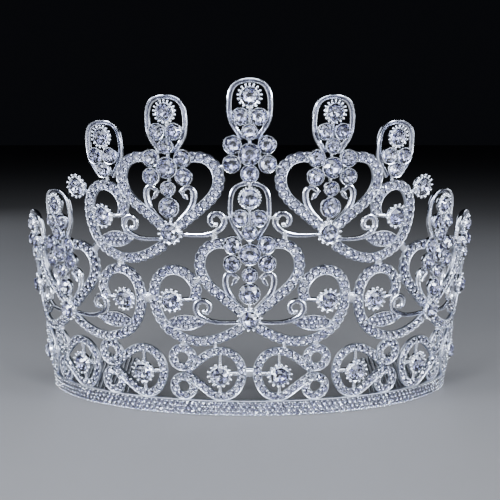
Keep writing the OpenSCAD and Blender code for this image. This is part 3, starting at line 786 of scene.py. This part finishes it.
# Steps between the stones of a cluster: stones that touch span a right-angled triangle, plus some room.
pairAcross = stones["pair"] + stones["gap"] / 2 + room["pair"]
pairReach = stones["pair"] + stones["small"] + stones["gap"]
crestReach = stones["pair"] + stones["crest"][1] + stones["gap"]
sideReach = stones["core"] + stones["side"] + stones["gap"]
pairUp = math.sqrt(pairReach ** 2 - pairAcross ** 2) + room["rise"]
crestUp = math.sqrt(crestReach ** 2 - pairAcross ** 2) + room["rise"]
sideUp = stones["side"] + stones["gap"]
sideAcross = math.sqrt(sideReach ** 2 - sideUp ** 2) + room["side"]
midUp = stones["core"] + stones["small"] + room["mid"]
lowerUp = stones["core"] + stones["small"] + room["lower"]
baseUp = stones["small"] + stones["base"] + room["base"]
crestOver = midUp + pairUp + crestUp
topPlace = clusters["topPlace"]
topCore = topPlace + stones["small"] + stones["core"] + room["rise"]
reach, lift, share = clusters["peak"]
peak = (upperHeart[0] + reach * scrollWork["reach"], upperHeart[1] + scrollWork["rise"] + lift, share)
place, lift, share = clusters["finial"]
finial = (place, centreHeart[1] + scrollWork["rise"] + lift, share)
tipFlower = clusters["tip"]


# Height of a heart's large stone.
def heartCore(heart):
    return heart[1] + clusters["core"] * hearts["rise"] * heart[2]


# Rows of stones: family, along, up, stone radius, setting radius, height and 1 for a flower setting.
# A cup's stone reaches over its seat, and a share makes a cluster smaller as a whole.
stoneRows = []


def cup(family, along, up, radius, share, level):
    stoneRows.append((family, along, up, (radius + stones["fill"]) * share,
                      (radius + stones["rim"]) * share,
                      stones["cupHeight"] - level * stones["levelStep"], 0))


def flower(family, along, up, radius, ring, share=1.0, lift=0.0):
    stoneRows.append((family, along, up, radius * share, ring * share, stones["flowerHeight"] + lift, 1))


def plumeStones(along, up, share, crest=stones["crest"]):
    cup("accent", along, up, stones["small"], share, 1)
    across = pairAcross * share / spreadAt(along, up + pairUp * share)
    for side in (-1, 1):
        cup("accent", along + side * across, up + pairUp * share, stones["pair"], share, 2)
    flower("crest", along, up + (pairUp + crestUp) * share, *crest, share)


def clusterStones(along, up, share, crest=stones["crest"]):
    cup("core", along, up, stones["core"], share, 0)
    for side in (-1, 1):
        for rise in (-1, 1):
            across = (sideAcross - rise * clusters["splay"]) * share / spreadAt(along, up)
            cup("accent", along + side * across, up + rise * sideUp * share, stones["side"], share,
                1 if rise < 0 else 2)
    plumeStones(along, up + midUp * share, share, crest)


def heartStones(heart, along, crest=stones["crest"]):
    core, share = heartCore(heart), heart[2]
    clusterStones(along, core, share, crest)
    cup("accent", along, core - lowerUp * share, stones["small"], share, 1)
    cup("base", along, core - (lowerUp + baseUp) * share, stones["base"], share, 2)
    flower("flower", along, heart[1], *stones["flower"], lift=stones["footLift"])


heartStones(centreHeart, 0.0, stones["centreCrest"])
clusterStones(0.0, topCore, 1.0)
cup("base", 0.0, topPlace, stones["side"], 1.0, 1)
for side in (-1, 1):
    for heart in (upperHeart, sideHeart):
        heartStones(heart, side * heart[0])
    for along, up, share in (peak, finial):
        plumeStones(side * along, up, share)
    for scroll in scrolls:
        flower("flower", *scrollAt(scroll, [scrollWork["flower"]], side)[0], *stones["flower"])
    flower("flower", side * tipFlower[0], tipFlower[1], *stones["flower"])
    for number in range(gallery["count"]):
        flower("gallery", *dropAt(number, [gallery["flower"]], side)[0], *stones["flower"])
families = np.array([row[0] for row in stoneRows])
stoneTable = np.array([row[1:] for row in stoneRows])


linkWork = {
    "widths": (1.4, 2.6, 1.8),  # of posts, welds and pegs
    "stem": 1.1,
    "stemThick": 1.0,
    "plumeFoot": 5.2,  # how far a stem goes below its plume, and below the top cluster's lowest stone
    "topFoot": 4.5,
}


# An upright bar behind a row of stones.
def stemAt(along, low, high):
    return barBetween((along, low), (along, high), linkWork["stem"], linkWork["stemThick"])


# The links of one half: from a place, to a place, and a width. Places are shares of the part that
# they lie on: h on a heart, s on a scroll and d on a gallery drop.
def sideLinks():
    post, weld, peg = linkWork["widths"]
    one, two, three, four = scrolls
    loopSide = heartCore(centreHeart) + midUp - plumes["foot"] + 0.46 * plumes["length"]
    topSide = sideAcross / spreadAt(0.0, topCore)

    h = lambda heart, x, y: heartAt(heart, [[x, y]], 1)[0]
    s = lambda scroll, x, y: scrollAt(scroll, [[x, y]])[0]
    d = lambda number, x, y: dropAt(number, [[x, y]])[0]
    return [
        (d(0, .47, .97), s(one, .37, -.44), post),
        (d(0, gallery["ringShare"], 1.02), s(one, .70, -.42), weld),
        (d(2, gallery["ringShare"], 1.02), s(three, .31, -.40), weld),
        (d(3, .25, .97), s(three, .67, -.43), post),
        (h(centreHeart, .93, .56), s(one, .57, .74), weld),
        (h(sideHeart, -.93, .56), s(two, .57, .74), weld),
        (h(sideHeart, .93, .56), s(three, .57, .74), weld),
        (h(upperHeart, .95, .58), s(four, .60, .84), weld),
        (s(one, .99, .40), s(two, .99, .40), 1.6 * weld),
        (s(four, .64, -.46), s(two, .76, .97), weld),
        (s(four, .91, -.15), h(sideHeart, -.93, .89), weld),
        (s(innerTendril, .46, .0), h(centreHeart, .72, .98), peg),
        (s(innerTendril, .545, .26), np.array([0.95 * plumes["half"], loopSide]), post),
        (h(upperHeart, -.96, .86), np.array([topSide, topCore - sideUp]), peg),
        (s(four, .97, .80), np.array(tipFlower), peg),
    ]


linkShapes = []
for side in (1, -1):
    for a, b, width in sideLinks():
        linkShapes.append(barBetween(a * [side, 1], b * [side, 1], width))
    for heart in (upperHeart, sideHeart):
        wireShapes.append(loopAt(side * heart[0], heartCore(heart) + midUp * heart[2], heart[2]))
        linkShapes.append(stemAt(side * heart[0], heart[1], heartCore(heart) + crestOver * heart[2]))
    for along, up, share in (peak, finial):
        wireShapes.append(loopAt(side * along, up, share))
        foot = up - linkWork["plumeFoot"]
        linkShapes.append(stemAt(side * along, foot, up + (pairUp + crestUp) * share))
for up in (heartCore(centreHeart) + midUp, topCore + midUp):
    wireShapes.append(loopAt(0.0, up, 1.0))
linkShapes.append(stemAt(0.0, centreHeart[1], heartCore(centreHeart) + crestOver))
linkShapes.append(stemAt(0.0, topPlace - linkWork["topFoot"], topCore + crestOver))
bridgeShare, bridgeWidth = gallery["bridge"]
bridgeUp = gallery["base"] + bridgeShare * gallery["height"]
linkShapes.append(barBetween((-gallery["start"], bridgeUp), (gallery["start"], bridgeUp), bridgeWidth))

print("crown: settings")
settings = {
    "sides": 28,
    "seat": 0.5,  # depth of the conical seat as a share of the stone's radius
    "cup": {  # a narrow foot at the back, a flared wall, a thin bright rim and the seat
        "ring": (0, .62, .80, 1, 0, 0, 0, 0, 0, 0),  # radii: a share of the setting's radius,
        "stone": (0, 0, 0, 0, 1, 1, 1, 1, 1, 0),  # plus a share of the stone's radius,
        "add": (0, 0, 0, -.05, .22, .18, .10, -.02, -.10, 0),  # plus a length
        "heights": (-2.2, -2.2, -1.9, -1.1, -.1, .16, .28, .26, -.05),  # from the seat's level
    },
    "plate": {  # a low disc
        "ring": (0, .70, .86, 1, 1, 0, 0, 0, 0, 0, 0),
        "stone": (0, 0, 0, 0, 0, 1, 1, 1, 1, 1, 0),
        "add": (0, 0, 0, -.30, -.36, .36, .22, .06, -.05, -.12, 0),
        "heights": (-2.2, -2.2, -1.8, -1.0, -.45, -.16, .14, .26, .22, -.05),
    },
    "flower": (0.52, 14, 1.07),  # radius and count of the beads, and their reach as a share of the plate
    "crest": (0.46, 17, 1.12),
    "prong": (0.28, 24, 0.98),
    "beads": ((0, .10, 1), (1.15, .16, .70)),  # inward shift in bead radii, depth, share of the radius
    "turn": 0.25,
}


# Turned settings: their heights rise from the back round the rim to the seat, which is a cone.
def turnSettings(rows, kind):
    along, up, radius, ring, level = rows[:, :5].T[..., None]
    radii = ring * kind["ring"] + radius * kind["stone"] + kind["add"]
    steps = kind["heights"]
    heights = np.hstack([level + steps, level + steps[-1] - settings["seat"] * radius])
    along, up = along[:, 0], up[:, 0]
    return turnShapes(onCrown(along, up), wallDirections(along), radii, heights, settings["sides"])


# A flower's beads stand on a circle at its plate's edge, each with a smaller one on its inner side.
def makeFlowerBeads(rows):
    beads = []
    for along, up, stoneRadius, ringRadius, height in rows[:, :5]:
        kind = "crest" if ringRadius < stones["flower"][1] else "flower"
        kind = "prong" if stoneRadius > stones["flower"][0] else kind
        size, count, share = settings[kind]
        angle = 2 * np.pi * (np.arange(count) + settings["turn"]) / count
        stretch = spreadAt(along, up)
        for shift, low, part in settings["beads"]:
            far = ringRadius * share - size - size * shift
            beads.append(np.stack([along + far * np.cos(angle) / stretch, up + far * np.sin(angle),
                                   angle * 0 + height - low, angle * 0 + size * part], -1))
    return ballsAt(np.concatenate(beads), *ballFaces["flower"])


isFlower = stoneTable[:, 5] > 0
cupShape = turnSettings(stoneTable[~isFlower], settings["cup"])
plateShape = turnSettings(stoneTable[isFlower], settings["plate"])
flowerBeads = makeFlowerBeads(stoneTable[isFlower])

print("crown: stones")


# A ring of points about the axis: radius, height and angles.
def ringAt(radius, height, angles):
    return np.stack(np.broadcast_arrays(radius * np.cos(angles), radius * np.sin(angles), height), -1)


# A round brilliant of radius 1 with its girdle at height 0: table, star, kite and girdle facets
# in front, and two rounds of foiled facets behind. Its rings start at points 0, 8, 16, 32 and 48, and
# 56 and 57 are its middles. It comes with a mark for the facets behind.
def brilliant():
    step = 2 * np.pi / 8
    a = step * np.arange(8)
    points = np.concatenate([
        ringAt(stones["table"], stones["crownDepth"], a + step / 2),
        ringAt(*stones["star"], a),
        ringAt(1.0, stones["girdle"], step / 2 * np.arange(16)),
        ringAt(1.0, -stones["girdle"], step / 2 * np.arange(16)),
        ringAt(*stones["foil"], a + step / 2),
        [[0, 0, stones["crownDepth"] - stones["dish"]], [0, 0, stones["point"]]]])
    k = np.arange(8)
    t, s, m = k, 8 + k, 48 + k
    nextT, nextS, nextM = (k + 1) % 8, 8 + (k + 1) % 8, 48 + (k + 1) % 8
    g = lambda n: 16 + n % 16
    b = lambda n: 32 + n % 16
    front = [(t * 0 + 56, t, nextT), (t, nextS, nextT), (t, s, g(2 * k + 1)), (t, g(2 * k + 1), nextS),
             (s, g(2 * k), g(2 * k + 1)), (s, g(2 * k - 1), g(2 * k))]
    j = np.arange(16)
    girdle = [(16 + j, 32 + j, b(j + 1)), (16 + j, b(j + 1), g(j + 1))]
    back = [(m, b(2 * k + 1), b(2 * k)), (m, b(2 * k + 2), b(2 * k + 1)), (m, nextM, b(2 * k + 2)),
            (k * 0 + 57, nextM, m)]
    tris = np.concatenate([np.stack(rows, -1) for rows in front + girdle + back])
    return points, tris, np.arange(len(tris)) >= len(tris) - 32


# The small stones are simpler: an eight-sided table, eight slanted facets and eight behind.
def smallCut():
    a = 2 * np.pi / 8 * np.arange(8)
    points = np.concatenate([ringAt(*paveWork["table"], a), ringAt(1.0, 0, a),
                             [[0, 0, paveWork["peak"]], [0, 0, paveWork["point"]]]])
    k = np.arange(8)
    n = (k + 1) % 8
    tris = np.concatenate([np.stack([k * 0 + 16, k, n], -1), np.stack([k, 8 + k, 8 + n], -1),
                           np.stack([k, 8 + n, n], -1), np.stack([k * 0 + 17, 8 + n, 8 + k], -1)])
    return points, tris, np.arange(32) >= 24


# The large stones stand a little above their seats.
def setStones(rows, seed):
    along, up, radius, height = rows[:, [0, 1, 2, 4]].T
    places = onCrown(along, up) + wallDirections(along)[2] * (height + stones["seatGap"])[:, None]
    return setCopies(brilliant(), places, along, radius, seed, stones["tip"])


along, up, out, radius = np.concatenate(paveSpots).T
paveShape = setCopies(smallCut(), onCrown(along, up, out), along, radius, paveWork["seeds"][0],
                      paveWork["tip"])

print("crown: pieces")
metalPieces = [
    ("castRibbons", heartShapes + scrollShapes, castSilver),
    ("galleryRibbons", galleryShapes, castSilver),
    ("baseBand", [bandShape], castSilver),
    # The channel and groove beds, near-black: painted shade.
    ("channelPaintedShade", shadeBedShapes, paintedShadeGround),
    ("scrollLeaves", leafShapes, polishedSilver),
    ("polishedWires", wireShapes, polishedSilver),
    ("solderedLinks", linkShapes, polishedSilver),
    ("stoneCups", [cupShape, plateShape], polishedSilver),
    ("flowerBeads", [flowerBeads], polishedSilver),
    ("prongBeads", [ballsAt(np.concatenate(beadSpots), *ballFaces["bead"])], polishedSilver),
]
metalWork = {name: makePiece(name, shapes, [finish])
             for name, shapes, finish in metalPieces}
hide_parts("frame")
makePiece("smallStones", [paveShape], [clearCrystal, smallFoilGlints], False,
          (paveWork["seeds"][1], smallCut()[2]))

nodeNames = sorted(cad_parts)
gemPieces = [
    ("coreStones", "core", ("core_stone",)),
    ("baseStones", "base", ("base_stone",)),
    ("crestStones", "crest", ("crest_stone",)),
    ("flowerStones", "flower", ("foot_stone", "scroll_stone", "tip_stone")),
    ("accentStones", "accent", ("accent_stones",)),
    ("galleryStones", "gallery", ("gallery_stones",)),
]
for number, (name, family, starts) in enumerate(gemPieces):
    turnSeed, glintToneSeed = (seed + number for seed in stones["seeds"])
    shape = setStones(stoneTable[families == family], turnSeed)
    piece = makePiece(name, [shape], [clearCrystal, largeFoilGlints], False,
                      (glintToneSeed, brilliant()[2]))
    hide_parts(*[node for node in nodeNames if node.startswith(starts)])

for node in ("comb_left", "comb_right"):
    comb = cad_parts[node]
    comb.data.materials.clear()
    comb.data.materials.append(combWire)

print("crown: floor, light and camera")
studio = {
    "floorRadius": 14.0,
    "floorFaces": (96, 8),  # sides and rings
    "floorTones": [(0.3, (0.21312, 0.20544, 0.19392, 1)), (0.7, (0.222, 0.214, 0.202, 1))],
    "floorPatch": (9.0, 5),  # scale and detail
    "floorRough": 0.55,
    "world": (0.44, 0.48, 0.62, 1),
    "worldStrength": 0.008,
    "tint": (0.79, 0.855, 1.0),
    "lights": [  # name, place, the height on the middle line that it aims at, size and power
        ("highCard", (0.0, -0.50, 0.60), .05, 0.46, 3.1),
        ("leftCard", (-0.70, -0.30, 0.34), .05, 0.40, 3.1),
        ("rightCard", (0.70, -0.28, 0.34), .05, 0.40, 2.9),
        ("keyBox", (-0.30, -0.58, 0.26), .05, 0.13, 4.6),
        ("fillBox", (0.32, -0.56, 0.22), .05, 0.12, 3.6),
        ("flashLeft", (-0.36, -0.27, 0.43), .06, 0.12, 0.8),
        ("flashRight", (0.36, -0.27, 0.43), .06, 0.12, 0.7),
        ("leftBox", (-0.52, -0.36, 0.11), .05, 0.14, 3.3),
        ("rightBox", (0.52, -0.34, 0.11), .05, 0.14, 3.0),
        ("lowBox", (0.0, -0.60, 0.035), .05, 0.07, 0.9),
        ("backBox", (-0.55, 0.70, 0.38), .06, 0.42, 1.4),
        ("edgeBox", (0.65, 0.45, 0.22), .06, 0.30, 1.0),
    ],
    "cameraPlace": (0.0001, -0.368427, 0.0941),
    "cameraPitch": 83.81,
    "lens": 74.2,
}


# The floor is a wide disc: rings of points whose radii grow as the square of the ring's number.
def makeFloor():
    sides, rings = studio["floorFaces"]
    angle = 2 * np.pi * np.arange(sides) / sides
    radius = studio["floorRadius"] * (np.arange(1, rings + 1) / rings) ** 2
    points = ringAt(radius[:, None], 0.0, angle).reshape(-1, 3)
    mesh = bpy.data.meshes.new("paleFloor")
    faces = gridFaces(rings, sides).tolist() + [list(range(sides))]
    mesh.from_pydata(points.tolist(), [], faces)
    mesh.update()
    floor = addObject("paleFloor", mesh)
    finish, tree, shader, where = newFinish("paleFloorFinish")
    mottle = noiseOf(tree, where, *studio["floorPatch"])
    fill(tree, shader, {"Base Color": rampOf(tree, mottle, studio["floorTones"]),
                        "Roughness": studio["floorRough"]})
    mesh.materials.append(finish)


makeFloor()
world = bpy.context.scene.world or bpy.data.worlds.new("studioWorld")
bpy.context.scene.world = world
world.use_nodes = True
fill(world.node_tree, world.node_tree.nodes["Background"],
     {"Color": studio["world"], "Strength": studio["worldStrength"]})
for name, place, height, size, power in studio["lights"]:
    light = bpy.data.lights.new(name, "AREA")
    light.shape = "SQUARE"
    light.size = size
    light.energy = power
    light.color = studio["tint"]
    lamp = addObject(name, light)
    lamp.location = place
    aim = np.array([0, 0, height]) - place  # a light shines down, so it is tipped up, then turned
    tilt, turn = math.atan2(math.hypot(aim[0], aim[1]), -aim[2]), math.atan2(-aim[0], aim[1])
    lamp.rotation_euler = (tilt, 0, turn)

lens = bpy.data.cameras.new("photoCamera")
lens.sensor_width = 36.0
lens.lens = studio["lens"]
camera = addObject("photoCamera", lens)
camera.location = studio["cameraPlace"]
camera.rotation_euler = (math.radians(studio["cameraPitch"]), 0, 0)
bpy.context.scene.camera = camera
